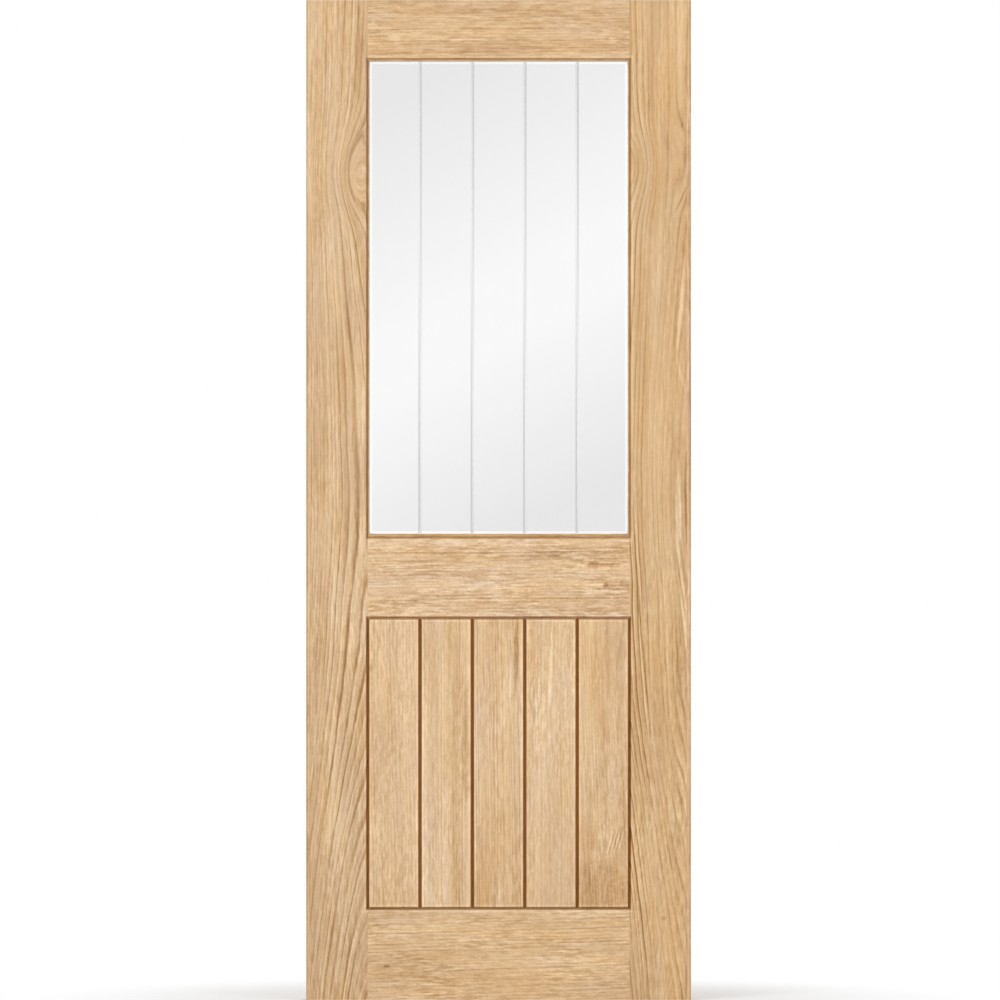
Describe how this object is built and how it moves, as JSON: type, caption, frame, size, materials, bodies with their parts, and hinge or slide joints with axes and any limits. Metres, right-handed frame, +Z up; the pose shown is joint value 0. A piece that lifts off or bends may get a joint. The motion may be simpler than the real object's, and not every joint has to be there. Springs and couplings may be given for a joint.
{
  "type": "half-glazed interior door leaf",
  "caption": "Half-glazed oak interior door leaf: V-jointed boards below, clear pane with matching V-cut lines above, held in mitred beads.",
  "frame": {"origin": "on the face of the hanging edge, at mid-thickness, at the foot of the leaf", "axes": "+X across the leaf from the hanging edge to the closing edge, -Y towards the front, +Z up"},
  "size_m": [0.762, 0.035, 1.981],
  "materials": {
    "oak_stile": "clear satin lacquer, grain upright",
    "oak_rail": "clear satin lacquer, grain level",
    "oak_board": "clear satin lacquer, grain upright",
    "oak_lipping": "clear satin lacquer, grain upright",
    "oak_bead": "clear satin lacquer, grain along the bead",
    "clear_glass": "clear, with satin V-cut lines",
    "glazing_seal": "matt, off-white"
  },
  "bodies": {
    "root": {"left_stile": "oak_stile", "right_stile": "oak_stile", "left_edge_lipping": "oak_lipping", "right_edge_lipping": "oak_lipping", "top_rail": "oak_rail", "middle_rail": "oak_rail", "bottom_rail": "oak_rail", "panel_board_1": "oak_board", "panel_board_2": "oak_board", "panel_board_3": "oak_board", "panel_board_4": "oak_board", "panel_board_5": "oak_board", "glass_pane": "clear_glass", "front_glazing_seal": "glazing_seal", "back_glazing_seal": "glazing_seal", "front_bead_top": "oak_bead", "front_bead_bottom": "oak_bead", "front_bead_left": "oak_bead", "front_bead_right": "oak_bead", "back_bead_top": "oak_bead", "back_bead_bottom": "oak_bead", "back_bead_left": "oak_bead", "back_bead_right": "oak_bead"}
  },
  "joints": []
}
